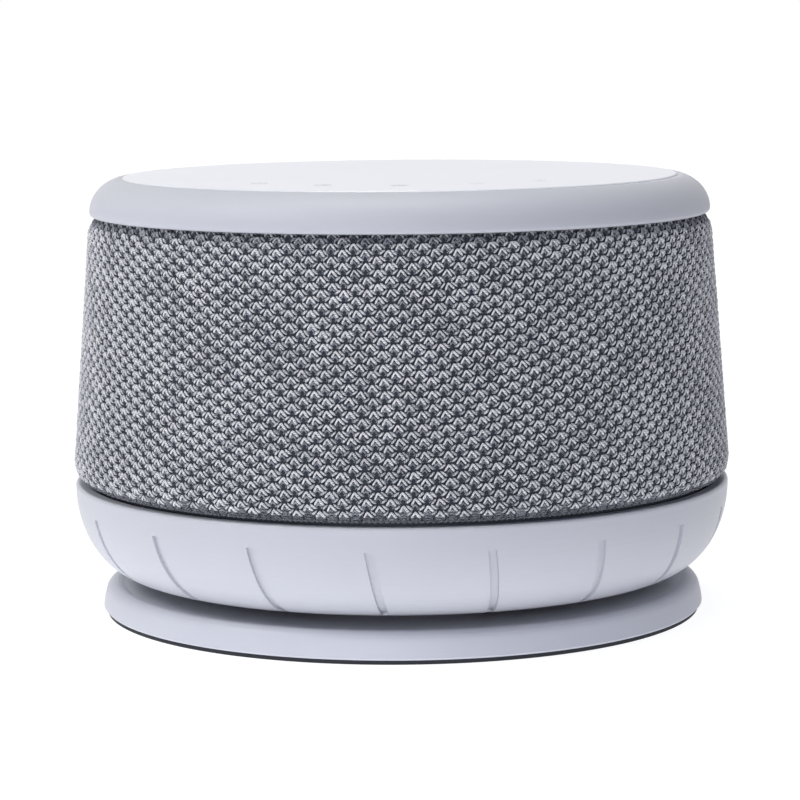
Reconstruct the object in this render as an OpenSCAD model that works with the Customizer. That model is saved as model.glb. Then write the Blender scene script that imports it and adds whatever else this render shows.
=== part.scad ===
// Fan-type sound machine: a drum of air with a fan in it, inside a tapered
// fabric-covered grille, on a low round base. The grooved ring at the bottom
// turns to open and close the air ports, which sets the tone.
// All sizes in millimetres, +Z up, origin at the centre of the foot's underside.
// The front is -Y and the power inlet is at the rear, +Y.

/* [Overall] */
// Widest diameter, at the tone ring
body_d = 150; // [125:1:190]
// Height from the table to the top plate
body_h = 99.5; // [83:0.5:125]

/* [Foot and base] */
// Height of rubber that shows under the base
foot_h = 1.0; // [0.8:0.1:3]
// Width of the rubber foot ring
foot_w = 9; // [6:0.5:14]
// Step in from the tone ring's widest radius to the base's edge
base_step = 5.8; // [3:0.1:12]
// Height of the base shell, from its lower edge to its crest
base_h = 5.9; // [5.8:0.1:9]
// Wall of the base shell
base_wall = 1.7; // [1.2:0.1:2.1]
// Radius of the base's gently bowed side
base_round = 16.6; // [12:0.1:20]
// Radius of the shoulder between the side and the dished top
crest_round = 2.5; // [2.3:0.1:3.2]
// Depth of the dish inside the shoulder
dish_drop = 0.5; // [0.3:0.1:0.6]
// Thickness of the bottom cover
cover_t = 1.4; // [1:0.1:2]

/* [Tone ring] */
// Height of the ring, underside to lip
ring_h = 21.1; // [18:0.1:26]
// Horizontal reach of the bowl's curve
bowl_reach = 14.5; // [12:0.5:18]
// Fullness of the bowl's curve, 2 for an ellipse
bowl_full = 2; // [1.9:0.05:2.4]
// Wall of the ring at its lip
ring_wall = 2.6; // [2:0.1:3.2]
// Thickness of the ring's ported floor
ring_floor = 2.4; // [1.8:0.1:3]
// Rounding of the lip
lip_round = 0.8; // [0.4:0.1:1.6]
// Air gap between the base's platform plane and the ring's underside
ring_gap = 0.6; // [0.2:0.1:0.8]
// Number of finger grooves
groove_n = 18; // [8:1:30]
// Width of a finger groove
groove_w = 1.9; // [1:0.1:3]
// Depth of a finger groove
groove_d = 0.7; // [0.4:0.1:1.4]
// Distance from the lip down to a groove's top
groove_drop = 5.2; // [2:0.1:10]
// Lean of the grooves from upright, in degrees
groove_lean = 9; // [0:0.5:12]
// Angle of the first groove, counted from +X
groove_phase = -95.5; // [-180:0.5:180]
// Turn of the ring from ports open to ports closed, in degrees
ring_turn = 30; // [20:1:30]
// Number of air ports
port_n = 6; // [4:1:6]
// Arc of one air port, in degrees
port_arc = 26; // [16:1:28]
// Radial width of the ring's floor, from its bore to the drum
floor_w = 19; // [16:0.5:22]

/* [Sleeve and grille] */
// Thickness of the knitted sleeve
sleeve_t = 1.2; // [0.8:0.1:1.6]
// Gap between the ring's lip and the sleeve's lower edge
sleeve_gap = 0.6; // [0.4:0.1:1.5]
// Step in from the ring's widest radius to the sleeve's top
sleeve_step = 3.9; // [2:0.1:6]
// Height over which the sleeve curls in at each end
curl_h = 4.6; // [3:0.1:6]
// How far the sleeve curls in at each end
curl_w = 2.5; // [2:0.1:3]
// Wall of the grille core
core_wall = 2.2; // [1.6:0.1:3]
// Number of slots round the grille core
slot_n = 30; // [12:1:36]
// Width of a slot in the grille core
slot_w = 9; // [5:0.5:9.5]

/* [Top] */
// Height of the light ring
light_h = 8.6; // [7.6:0.1:12]
// Step in from the tone ring's widest radius to the light ring's
light_step = 4.3; // [3:0.1:7]
// Horizontal reach of the light ring's curve
light_reach = 8.6; // [7.5:0.1:11]
// Wall of the light ring
light_wall = 2.2; // [1.6:0.1:3]
// Step in from the tone ring's widest radius to the top plate's edge
plate_step = 11.8; // [10.8:0.1:14]
// Thickness of the top plate
plate_t = 2.0; // [1.5:0.1:3]
// Number of light-emitting diodes
led_n = 20; // [8:1:24]

/* [Drum and fan] */
// Wall of the sound drum
drum_wall = 2.0; // [1.5:0.1:3]
// Number of slanted sound slots in the drum
vent_n = 12; // [6:1:15]
// Gap between the wheel's rim and the drum's wall
wheel_gap = 10; // [3:0.5:11]
// Height of the fan wheel's blades
wheel_h = 25; // [16:0.5:27]
// Number of blades
blade_n = 16; // [8:1:18]
// Thickness of a blade
blade_t = 1.4; // [1:0.1:2]
// Radius of the fan shaft
shaft_r = 1.5; // [1.2:0.1:2]
// Radius of the rotor cup
rotor_r = 18.2; // [17.2:0.1:20]
// Outer radius of a ball bearing
bearing_r = 4.0; // [3.5:0.1:4.8]

/* [Clearances] */
// Radial gap of a turning or bearing fit
run_gap = 0.08; // [0.03:0.01:0.1]
// Gap between a screw and its hole
screw_gap = 0.05; // [0.02:0.01:0.1]
// Gap round a fitted or soft piece
slip_gap = 0.3; // [0.2:0.05:0.5]
// Gap between the turning ring and the fixed tub
tub_gap = 1.2; // [0.8:0.1:2]

/* [Hidden] */
$fn = 96;

// how far a cutting body runs past what it cuts, and how far joined shapes bite
over = 1;
bite = 0.5;

// finishes
white_abs = "#dfe1e9";
ring_abs = "#d3d6e2";
frost_grey = "#c2c6cf";
dark_rubber = "#3c3e42";
knit_grey = "#8d929b";
black_abs = "#2a2b2e";
steel = "#a9adb3";
board_green = "#2f6b4a";
copper = "#b9713a";

// the common self-tapping screw: [shank radius, head radius, head height]
small_screw = [1.25, 2.4, 1.5];

// radii that everything is stepped in from
ring_r = body_d / 2;
base_r = ring_r - base_step;
drum_step = 18;
drum_r = ring_r - drum_step;
hub_r = drum_r - floor_w;
light_r = ring_r - light_step;
plate_r = ring_r - plate_step;

// base
base_z = foot_h;
crest_z = base_z + base_h;
edge_turn = 17;
crest_turn = 110;
dish_slope = 20;
edge_c = [base_r - base_round,
          crest_z - crest_round - (base_round - crest_round) * sin(edge_turn)];
crest_c = edge_c + (base_round - crest_round) * [cos(edge_turn), sin(edge_turn)];
edge_chamfer = 0.45;
dish_z = crest_z - dish_drop;
plat_t = 2.2;
plat_w = 4;
plat_r = hub_r + plat_w;
plat_rise = 2.2;
plat_z = dish_z + plat_rise;
plat_draft = 0.8;
wire_hole_r = 9;
cover_z = base_z + cover_t;
cover_step = 0.4;
cover_r = base_r - base_wall - slip_gap - cover_step;
foot_step = 0.9;
foot_r = base_r - foot_step;
foot_rib_w = 2;
foot_rib_h = 0.7;
foot_rib_r = foot_r - foot_w / 2;

// tone ring
ring_z = plat_z + ring_gap;
ring_top = ring_z + ring_h;
bowl_rise = ring_h - lip_round;
bowl_c = [ring_r - bowl_reach, ring_z + bowl_rise];
floor_top = ring_z + ring_floor;
lip_turn = 15;
groove_in = 1;
groove_end_turn = 86;
port_rib_in = 7;
port_rib_out = 1.2;
port_in = hub_r + port_rib_in;
port_out = drum_r - drum_wall - port_rib_out;
stop_in = 4.9;
stop_r = hub_r + stop_in;
stop_w = 1.6;
stop_arc = 4;
stop_slot_w = stop_w + 2 * slip_gap;
stop_play = 0.6;

// chassis tub
glide_t = 0.8;
glide_w = 2.6;
glide_in = 0.4;
glide_gap = 0.1;
glide_z = floor_top + glide_gap;
tub_t = 2.2;
tub_z = glide_z + glide_t;
tub_hole_r = 6;
tap_depth = 5.2;
tub_floor = tub_z + tub_t;
tub_reach = bowl_reach - ring_wall - tub_gap;
tub_rise = bowl_c[1] - tub_z;
tub_r = bowl_c[0] + tub_reach;
hub_wall = 7;
hub_in = hub_r - hub_wall;

// sleeve and grille
sleeve_z = ring_top + sleeve_gap;
hem_z = sleeve_z + sleeve_t;
hem_r = tub_r + slip_gap;
tub_top = hem_z + slip_gap;
light_z = body_h - light_h;
frame_lip_t = 0.6;
sleeve_top = light_z - frame_lip_t - 0.1;
low_c = [ring_r - curl_w, sleeve_z + curl_h];
high_c = [ring_r - sleeve_step - curl_w, sleeve_top - curl_h];
hem_w = 1.2;
top_hem_r = ring_r - sleeve_step - curl_w - hem_w;
hoop_t = 1.0;
hoop_step = 0.9;
core_z = tub_top + hoop_t;
core_top = sleeve_top - sleeve_t - slip_gap - hoop_t;
skin = sleeve_t + slip_gap;
core_low = [low_c[0] + curl_w - skin, low_c[1]];
core_high = [high_c[0] + curl_w - skin, high_c[1]];
slot_rows = 2;
slot_margin = 5;
slot_rib = 4;
core_bevel_low = 1.2;
core_bevel_high = 0.8;

// top
frame_t = 2;
frame_depth = 6.4;
frame_floor = light_z - frame_depth;
frame_wall = 3;
frame_r = top_hem_r - slip_gap;
frame_lip_step = 2.2;
frame_vent_r = 22;
ribbon_x = 20;
ribbon_w = 8;
ribbon_t = 0.4;
ribbon_slot = [12, 10];
socket_h = 4;
frame_socket = frame_r + slip_gap;
frame_screw_n = 6;
frame_screw_r = frame_r - frame_wall - small_screw[1] - slip_gap;
ledge_t = 2;
ledge_w = 8.5;
seat_z = body_h - plate_t;
seat_w = 3.4;
seat_t = 1.6;
plate_gap = 0.1;
plate_chamfer = 0.25;
light_foot = 0.9;
light_lip_w = 1;
light_lip_t = 0.8;
rim_drop = 0.3;
light_c = [light_r - light_reach, light_z + light_foot];
light_rise = body_h + 0.05 - light_c[1];
board_t = 1.2;
board_step = 0.6;
led_w = 3.5;
led_h = 1.2;
led_step = 3.5;
led_r = plate_r - led_step;
led_board_w = 10;
led_in_r = plate_r - led_board_w;

// drum, main board and fan
board_room = 7.5;
board_z = frame_floor - board_room;
post_gap = 5;
drum_top = board_z - post_gap;
drum_cap = 2;
drum_chamfer = 3;
drum_ear_step = 5.5;
drum_ear_r = 3;
drum_ear_h = 12;
vent_w = 6;
vent_slant = 12;
vent_lift = 16;
vent_margin = 6;
head_gap = 6;
motor_drop = 24;
wheel_top = drum_top - drum_cap - head_gap;
wheel_r = drum_r - drum_wall - wheel_gap;
motor_z = wheel_top - motor_drop;
plate_thick = 1.5;
isolator_t = 4;
isolator_r = 4;
isolator_waist = 0.8;
isolator_slot = 1;
post_ring = 16.5;
post_phase = 30;
post_r = 4;
post_top = motor_z - plate_thick - isolator_t;
bracket_r = 21.5;
window_ring = 13;
window_r = 4;
tube_wall = 1.4;
tube_h = 16;
bearing_h = 4;
bearing_in = 1;
stator_r = 14;
stator_h = 8;
stator_z = motor_z + 5.5;
tooth_n = 9;
tooth_w = 2.4;
core_wall_t = 2.6;
shoe_t = 1.4;
shoe_gap = 1.6;
shoe_bite = 0.6;
coil_t = 0.7;
coil_end = 1.2;
coil_clear = 0.4;
magnet_gap = 0.5;
cup_wall = 1.5;
cup_z = motor_z + 3.5;
cup_top = motor_z + 19;
boss_r = 4;
boss_h = 2.5;
boss_root = 1.6;
shaft_end = 3;
clip_neck = 0.4;
clip_w = 1;
clip_t = 0.4;
clip_play = 0.1;
shaft_tail = 1.2;
magnet_h = 10;
wheel_plate_t = 1.6;
wheel_rim_w = 2.5;
wheel_rim_t = 1.6;
wheel_hub_w = 3.5;
wheel_hub_h = 5;
blade_in = 24;
main_w = 66;
main_d = 48;
stand_x = 28;
stand_y = 19;
stand_r = 3;
drum_screw = [1.1, 2.2, 0.6];

// where the screws stand
hub_screw_n = 6;
hub_screw_ring = hub_in + hub_wall / 2;
cover_screw_n = 4;
cover_screw_ring = hub_in - 6;
cup_depth = 1.4;
cup_wall_t = 1.6;
cup_gap = 0.4;
pillar_z = cover_z + cup_depth;
pillar_r = 3.2;
pillar_roof = 1.2;

// power inlet
inlet_w = 8.9;
inlet_h = 3.1;
inlet_l = 6.8;
inlet_wall = 0.3;
inlet_z = cover_z + 0.1 + inlet_h / 2;
inlet_step = 1.1;
inlet_mouth = base_r - inlet_step;
inlet_frame = 0.35;
inlet_reach = 4;
tongue = [5.6, 0.7];
inlet_board_size = [16, 12, 0.8];
inlet_board_back = 8;

// points on an elliptic arc about c, from angle t0 to t1 in n steps
function arc(c, a, b, t0, t1, n) =
    [for (i = [0:n]) let (t = t0 + (t1 - t0) * i / n) c + [a * cos(t), b * sin(t)]];

// points on the bowl's fuller arc about c, from angle t0 to t1, both from -90 to 0
function bowl(c, a, b, t0, t1, n) =
    [for (i = [0:n]) let (t = t0 + (t1 - t0) * i / n)
        c + [a * pow(cos(t), 2 / bowl_full), -b * pow(-sin(t), 2 / bowl_full)]];

// radius of the straight line through p and q at height z
function line_r(p, q, z) = p[0] + (q[0] - p[0]) * (z - p[1]) / (q[1] - p[1]);

// where the base shell's dish slope, offset inwards by w, meets its floor
function dish_foot(w) =
    let (p = crest_c + (crest_round - w) * [cos(crest_turn), sin(crest_turn)])
    [p[0] - (p[1] - (dish_z - w)) / tan(dish_slope), dish_z - w];

// the base's outline from its lower edge to the dish, offset inwards by w
function base_line(w) = concat(
    arc(edge_c, base_round - w, base_round - w,
        asin((base_z + edge_chamfer - edge_c[1]) / (base_round - w)), edge_turn, 10),
    arc(crest_c, crest_round - w, crest_round - w, edge_turn + 10, crest_turn, 5),
    [dish_foot(w)]);

module spin(outline) rotate_extrude() polygon(outline);

module tube(r_in, r_out, z0, z1)
    translate([0, 0, z0])
        difference() {
            cylinder(r = r_out, h = z1 - z0);
            translate([0, 0, -over]) cylinder(r = r_in, h = z1 - z0 + 2 * over);
        }

// an arc-shaped block, centred on angle mid
module sector(r_in, r_out, z0, z1, sweep, mid = 0)
    rotate([0, 0, mid - sweep / 2])
        rotate_extrude(angle = sweep)
            translate([r_in, z0]) square([r_out - r_in, z1 - z0]);

module around(n, phase = 0)
    for (i = [0:n - 1]) rotate([0, 0, phase + i * 360 / n]) children();

// a flat-ended pill outline, w wide and h high
module pill(w, h) {
    square([w - h, h], center = true);
    for (s = [-1, 1]) translate([s * (w - h) / 2, 0]) circle(d = h);
}

// a pan-head screw standing on z = 0 with its shank going down for l
module screw(size, l) {
    difference() {
        cylinder(r = size[1], h = size[2]);
        for (a = [0, 90])
            rotate([0, 0, a])
                translate([-size[1] * 0.6, -0.3, size[2] * 0.5])
                    cube([size[1] * 1.2, 0.6, size[2]]);
    }
    translate([0, 0, -l]) cylinder(r = size[0], h = l + 0.2);
}

// a round lead swept through points, with 8 sides
module lead(points, r) {
    sides = 8;
    last = len(points) - 1;
    function way(i) =
        let (d = points[min(i + 1, last)] - points[max(i - 1, 0)]) d / norm(d);
    function side(d) =
        let (ref = abs(d[1]) > 0.9 ? [1, 0, 0] : [0, 1, 0], s = cross(d, ref)) s / norm(s);
    rings = [for (i = [0:last]) let (d = way(i), u = side(d), v = cross(d, u))
        for (k = [0:sides - 1])
            points[i] + r * (u * cos(k * 360 / sides) + v * sin(k * 360 / sides))];
    walls = [for (i = [0:last - 1]) for (k = [0:sides - 1])
        let (a = i * sides + k, b = i * sides + (k + 1) % sides)
        [a, b, b + sides, a + sides]];
    caps = [[for (k = [sides - 1:-1:0]) k], [for (k = [0:sides - 1]) last * sides + k]];
    polyhedron(rings, concat(walls, caps), convexity = 6);
}

// ---- foot and base ----

module rubber_foot()
    color(dark_rubber) {
        tube(foot_r - foot_w, foot_r, 0, foot_h);
        tube(foot_rib_r - foot_rib_w / 2, foot_rib_r + foot_rib_w / 2,
             foot_h - 0.1, foot_h + foot_rib_h);
    }

module base_cover()
    color(ring_abs)
        difference() {
            union() {
                translate([0, 0, base_z]) cylinder(r = cover_r, h = cover_t);
                around(cover_screw_n, 45)
                    translate([cover_screw_ring, 0, base_z])
                        cylinder(r = small_screw[1] + cup_wall_t, h = cover_t + cup_depth);
            }
            tube(foot_rib_r - foot_rib_w / 2 - screw_gap, foot_rib_r + foot_rib_w / 2 + screw_gap,
                 base_z - over, foot_h + foot_rib_h + 0.1);
            around(cover_screw_n, 45)
                translate([cover_screw_ring, 0, base_z]) {
                    translate([0, 0, -over])
                        cylinder(r = small_screw[1] + cup_gap, h = cup_depth + over);
                    cylinder(r = small_screw[0] + 2 * screw_gap, h = cover_z + cup_depth);
                }
        }

module base_shell() {
    under_plat = plat_z - plat_t;
    inner = base_line(base_wall);
    outline = concat(
        [[base_r - base_wall, base_z], [base_r - edge_chamfer, base_z]],
        base_line(0),
        [[plat_r + plat_draft, dish_z], [plat_r, plat_z], [wire_hole_r, plat_z],
         [wire_hole_r, under_plat], [plat_r - base_wall, under_plat],
         [plat_r - base_wall, dish_z - base_wall]],
        [for (i = [len(inner) - 1:-1:0]) inner[i]]);
    color(white_abs)
        difference() {
            union() {
                spin(outline);
                around(cover_screw_n, 45)
                    translate([cover_screw_ring, 0, pillar_z])
                        cylinder(r = pillar_r, h = under_plat - pillar_z + bite);
            }
            around(cover_screw_n, 45)
                translate([cover_screw_ring, 0, pillar_z - over])
                    cylinder(r = small_screw[0] + screw_gap,
                             h = plat_z - pillar_roof - pillar_z + over);
            around(hub_screw_n)
                translate([hub_screw_ring, 0, base_z])
                    cylinder(r = small_screw[0] + 2 * screw_gap, h = plat_z);
            translate([0, inlet_mouth - inlet_l - slip_gap, inlet_z])
                rotate([-90, 0, 0])
                    linear_extrude(inlet_l + inlet_reach)
                        pill(inlet_w + 2 * inlet_frame, inlet_h + 2 * inlet_frame);
        }
}

module cover_screws()
    color(steel)
        around(cover_screw_n, 45)
            translate([cover_screw_ring, 0, base_z + cup_depth])
                rotate([180, 0, 0])
                    screw([small_screw[0], small_screw[1], cup_depth - 0.2],
                          plat_z - pillar_roof - 0.3 - base_z - cup_depth);

module hub_screws()
    color(steel)
        around(hub_screw_n)
            translate([hub_screw_ring, 0, plat_z - plat_t])
                rotate([180, 0, 0]) screw(small_screw, plat_t + 5);

module power_inlet()
    color(steel)
        translate([0, inlet_mouth, inlet_z])
            rotate([90, 0, 0])
                difference() {
                    linear_extrude(inlet_l) pill(inlet_w, inlet_h);
                    translate([0, 0, -over])
                        linear_extrude(inlet_l)
                            difference() {
                                pill(inlet_w - 2 * inlet_wall, inlet_h - 2 * inlet_wall);
                                square(tongue, center = true);
                            }
                }

module inlet_board()
    color(board_green)
        translate([-inlet_board_size[0] / 2, inlet_mouth - inlet_l - inlet_board_back, cover_z])
            difference() {
                cube(inlet_board_size);
                translate([inlet_board_size[0] / 2 - inlet_w / 2 - slip_gap,
                           inlet_board_back - slip_gap, -over])
                    cube([inlet_w + 2 * slip_gap, inlet_board_size[1],
                          inlet_board_size[2] + 2 * over]);
            }

// ---- tone ring ----

module tone_ring() {
    outer = bowl(bowl_c, bowl_reach, bowl_rise, -90, 0, 20);
    inner = bowl(bowl_c, bowl_reach - ring_wall, bowl_rise - ring_floor, 0, -90, 14);
    lip = arc([ring_r - lip_round, ring_top - lip_round], lip_round, lip_round, lip_turn, 90, 5);
    outline = concat([[hub_r, ring_z]], outer, lip,
                     [[ring_r - ring_wall, ring_top]], inner, [[hub_r, floor_top]]);
    groove_bed = bowl(bowl_c, bowl_reach - groove_d, bowl_rise - groove_d,
                      -groove_end_turn, 0, 18);
    groove_zone = concat(groove_bed, [[ring_r + 5, bowl_c[1]], [ring_r + 5, ring_z - 5],
                                      [groove_bed[0][0], ring_z - 5]]);
    groove_z = ring_top - groove_drop;
    groove_run = ring_h * tan(groove_lean);
    color(ring_abs)
        difference() {
            spin(outline);
            intersection() {
                spin(groove_zone);
                around(groove_n, groove_phase)
                    translate([drum_r + groove_in, 0, groove_z])
                        rotate([90, 0, 90])
                            linear_extrude(drum_step + 5)
                                polygon([[-groove_w / 2, 0], [groove_w / 2, 0],
                                         [groove_w / 2 + groove_run, -ring_h],
                                         [-groove_w / 2 + groove_run, -ring_h]]);
            }
            around(port_n)
                sector(port_in, port_out, ring_z - over, floor_top + over, port_arc);
            around(2, 30)
                sector(stop_r - stop_slot_w / 2, stop_r + stop_slot_w / 2,
                       ring_z - over, floor_top + over,
                       ring_turn + stop_arc + 2 * stop_play, -ring_turn / 2);
        }
}

module glide_ring()
    color("#e9e9e4")
        tube(hub_r + glide_in, hub_r + glide_in + glide_w, glide_z, glide_z + glide_t);

// ---- chassis ----

module chassis_tub() {
    outer = bowl(bowl_c, tub_reach, tub_rise, -90, 0, 12);
    inner = bowl(bowl_c, tub_reach - tub_t, tub_rise - tub_t, 0, -90, 10);
    outline = concat(
        [[0, tub_z], [hub_in, tub_z], [hub_in, plat_z], [hub_r - run_gap, plat_z],
         [hub_r - run_gap, tub_z]],
        outer, [[tub_r, tub_top], [tub_r - tub_t, tub_top]], inner, [[0, tub_floor]]);
    color(black_abs)
        difference() {
            union() {
                spin(outline);
                around(3, post_phase)
                    translate([post_ring, 0, tub_floor - bite])
                        cylinder(r = post_r, h = post_top - tub_floor + bite);
                around(2, 30)
                    sector(stop_r - stop_w / 2, stop_r + stop_w / 2,
                           ring_z + stop_play, tub_z + bite, stop_arc);
            }
            around(port_n)
                sector(port_in, port_out, tub_z - over, tub_floor + over, port_arc);
            around(3, post_phase)
                translate([post_ring, 0, post_top - 7])
                    cylinder(r = small_screw[0] + screw_gap, h = 8);
            around(hub_screw_n)
                translate([hub_screw_ring, 0, plat_z - over])
                    cylinder(r = small_screw[0] + screw_gap, h = tap_depth + over);
            around(3, 150)
                translate([drum_r - drum_ear_step, 0, tub_z - over])
                    cylinder(r = drum_screw[0] + 4 * screw_gap, h = tub_t + 2 * over);
            translate([0, 0, tub_z - over]) cylinder(r = tub_hole_r, h = tub_t + 2 * over);
        }
}

// ---- sleeve and grille ----

module lower_hoop()
    color(black_abs) tube(tub_r - tub_t, low_c[0] - slip_gap, tub_top, tub_top + hoop_t);

module upper_hoop()
    color(black_abs)
        tube(frame_socket, core_high[0] - hoop_step, core_top, core_top + hoop_t);

module grille_core() {
    r_low = line_r(core_low, core_high, core_z) - core_bevel_low;
    r_high = line_r(core_low, core_high, core_top) - core_bevel_high;
    in_low = r_low - core_wall;
    ledge_in = frame_socket - ledge_w;
    under_ledge = frame_floor - ledge_t;
    in_high = line_r(core_low, core_high, under_ledge) - core_wall;
    slots_z = core_z + slot_margin;
    slots_top = frame_floor - slot_margin;
    slot_l = (slots_top - slots_z - slot_rib * (slot_rows - 1)) / slot_rows;
    color(black_abs)
        difference() {
            spin([[in_low, core_z], [r_low, core_z], core_low, core_high,
                  [r_high, core_top], [frame_socket, core_top],
                  [frame_socket, frame_floor], [ledge_in, frame_floor],
                  [ledge_in, under_ledge], [in_high - 1, under_ledge],
                  [in_high, under_ledge - 1]]);
            for (row = [0:slot_rows - 1])
                around(slot_n)
                    translate([drum_r + 1, -slot_w / 2,
                               slots_z + row * (slot_l + slot_rib)])
                        cube([drum_step + 5, slot_w, slot_l]);
            around(frame_screw_n, 30)
                translate([frame_screw_r, 0, under_ledge - over])
                    cylinder(r = small_screw[0] + screw_gap, h = ledge_t + 2 * over);
        }
}

module fabric_sleeve() {
    thin = curl_w - sleeve_t;
    outline = concat(
        [[hem_r, sleeve_z]],
        arc(low_c, curl_w, curl_h, -90, 0, 8),
        arc(high_c, curl_w, curl_h, 0, 90, 8),
        [[top_hem_r, sleeve_top], [top_hem_r, sleeve_top - sleeve_t]],
        arc(high_c, thin, curl_h - sleeve_t, 90, 0, 6),
        arc(low_c, thin, curl_h - sleeve_t, 0, -90, 6),
        [[hem_r, hem_z]]);
    color(knit_grey) spin(outline);
}

// ---- drum, boards and leads ----

module sound_drum() {
    vent_z = tub_floor + vent_lift;
    vent_l = drum_top - drum_cap - vent_margin - vent_z;
    color(white_abs)
        difference() {
            union() {
                spin([[drum_r - drum_wall, tub_floor], [drum_r, tub_floor],
                      [drum_r, drum_top - drum_chamfer], [drum_r - drum_chamfer, drum_top],
                      [0, drum_top], [0, drum_top - drum_cap],
                      [drum_r - drum_wall - drum_chamfer, drum_top - drum_cap],
                      [drum_r - drum_wall, drum_top - drum_cap - drum_chamfer]]);
                for (x = [-stand_x, stand_x], y = [-stand_y, stand_y])
                    translate([x, y, drum_top - bite])
                        cylinder(r = stand_r, h = post_gap + bite);
                around(3, 150)
                    translate([drum_r - drum_ear_step, 0, tub_floor])
                        cylinder(r = drum_ear_r, h = drum_ear_h);
            }
            around(vent_n)
                translate([drum_r - drum_wall - vent_w, 0, vent_z])
                    rotate([vent_slant, 0, 0])
                        translate([0, -vent_w / 2, 0]) cube([2 * vent_w, vent_w, vent_l]);
            for (x = [-stand_x, stand_x], y = [-stand_y, stand_y])
                translate([x, y, drum_top])
                    cylinder(r = small_screw[0] + screw_gap, h = post_gap + over);
            around(3, 150)
                translate([drum_r - drum_ear_step, 0, tub_floor - over])
                    cylinder(r = small_screw[0] + screw_gap, h = drum_ear_h - 2 * over);
        }
}

module main_board()
    color(board_green)
        difference() {
            translate([-main_w / 2, -main_d / 2, board_z]) cube([main_w, main_d, board_t]);
            for (x = [-stand_x, stand_x], y = [-stand_y, stand_y])
                translate([x, y, board_z - over])
                    cylinder(r = small_screw[0] + 2 * screw_gap, h = board_t + 2 * over);
        }

module board_parts() {
    top = board_z + board_t;
    color(black_abs) {
        translate([-8, -12, top]) cube([10, 10, 1.4]);
        translate([12, -6, top]) cube([7, 5, 1.6]);
        translate([-24, -8, top]) cube([6, 16, 4]);
    }
    color("#3a4a7a") for (y = [-14, 14]) translate([-10, y, top]) cylinder(r = 3, h = 5);
    color(copper) translate([14, 12, top]) tube(1.5, 4, 0, 3.5);
    color("#e9e9e4") {
        translate([ribbon_x, -16, top]) cube([5, 8, socket_h]);
        translate([ribbon_x, 2, top]) cube([5, 10, socket_h]);
    }
}

module board_screws()
    color(steel)
        for (x = [-stand_x, stand_x], y = [-stand_y, stand_y])
            translate([x, y, board_z + board_t]) screw(small_screw, board_t + 4);

module drum_screws()
    color(steel)
        around(3, 150)
            translate([drum_r - drum_ear_step, 0, tub_z])
                rotate([180, 0, 0]) screw(drum_screw, tub_t + 5);

// the inlet's pair of leads: along the base, up through the hub and the drum
module power_leads() {
    low = cover_z + 1.0;
    rise_r = drum_r - drum_wall - 5;
    start = inlet_mouth - inlet_l - 8.6;
    color("#b03a34") lead_route(1.2, low, start, rise_r);
    color(black_abs) lead_route(-1.2, low, start, rise_r);
}

module lead_route(shift, low, start, rise_r)
    lead([[shift, start, low], [shift, hub_in, low], [shift, 7, low], [shift, 4.4, low + 1.4],
          [shift, 3.6, low + 4], [shift, 3.6, tub_floor - 1], [shift, 4.4, tub_floor + 1.2],
          [shift, 7, tub_floor + 2], [shift, rise_r - 2, tub_floor + 2],
          [shift, rise_r - 0.6, tub_floor + 2.6], [shift, rise_r, tub_floor + 4],
          [shift, rise_r, drum_top - drum_cap - 0.4]], 0.7);

// ---- fan motor and wheel ----

module motor_isolators()
    color(dark_rubber)
        around(3, post_phase)
            translate([post_ring, 0, post_top])
                difference() {
                    cylinder(r = isolator_r, h = isolator_t);
                    translate([0, 0, -over])
                        cylinder(r = small_screw[0] + 2 * screw_gap, h = isolator_t + 2 * over);
                    tube(isolator_r - isolator_waist, isolator_r + over,
                         (isolator_t - isolator_slot) / 2, (isolator_t + isolator_slot) / 2);
                }

module motor_bracket()
    color(steel)
        difference() {
            union() {
                translate([0, 0, motor_z - plate_thick]) cylinder(r = bracket_r, h = plate_thick);
                translate([0, 0, motor_z - bite])
                    cylinder(r = bearing_r + tube_wall, h = tube_h + bite);
            }
            translate([0, 0, motor_z - plate_thick - over])
                cylinder(r = bearing_r + screw_gap, h = tube_h + plate_thick + 2 * over);
            around(3, post_phase)
                translate([post_ring, 0, motor_z - plate_thick - over])
                    cylinder(r = small_screw[0] + 2 * screw_gap, h = plate_thick + 2 * over);
            around(3, post_phase + 60)
                translate([window_ring, 0, motor_z - plate_thick - over])
                    cylinder(r = window_r, h = plate_thick + 2 * over);
        }

module bracket_screws()
    color(steel)
        around(3, post_phase)
            translate([post_ring, 0, motor_z])
                screw(small_screw, plate_thick + isolator_t + 6);

module stator_core()
    color("#83868c")
        translate([0, 0, stator_z])
            linear_extrude(stator_h)
                difference() {
                    union() {
                        circle(r = bearing_r + tube_wall + core_wall_t);
                        for (i = [0:tooth_n - 1])
                            rotate(i * 360 / tooth_n)
                                translate([bearing_r, -tooth_w / 2])
                                    square([stator_r - bearing_r - shoe_bite, tooth_w]);
                        difference() {
                            circle(r = stator_r);
                            circle(r = stator_r - shoe_t);
                            for (i = [0:tooth_n - 1])
                                rotate((i + 0.5) * 360 / tooth_n)
                                    translate([0, -shoe_gap / 2])
                                        square([stator_r + over, shoe_gap]);
                        }
                    }
                    circle(r = bearing_r + tube_wall + screw_gap);
                }

module stator_windings() {
    coil_in = bearing_r + tube_wall + core_wall_t + coil_clear;
    coil_l = stator_r - shoe_t - coil_clear - coil_in;
    color(copper)
        around(tooth_n)
            translate([coil_in, 0, stator_z + stator_h / 2])
                difference() {
                    translate([0, -tooth_w / 2 - coil_t, -stator_h / 2 - coil_end])
                        cube([coil_l, tooth_w + 2 * coil_t, stator_h + 2 * coil_end]);
                    translate([-over, -tooth_w / 2 - screw_gap, -stator_h / 2 - screw_gap])
                        cube([coil_l + 2 * over, tooth_w + 2 * screw_gap,
                              stator_h + 2 * screw_gap]);
                }
}

module motor_bearings()
    color(steel)
        for (z = [motor_z + bearing_in, motor_z + tube_h - bearing_in - bearing_h])
            tube(shaft_r + run_gap, bearing_r, z, z + bearing_h);

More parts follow.
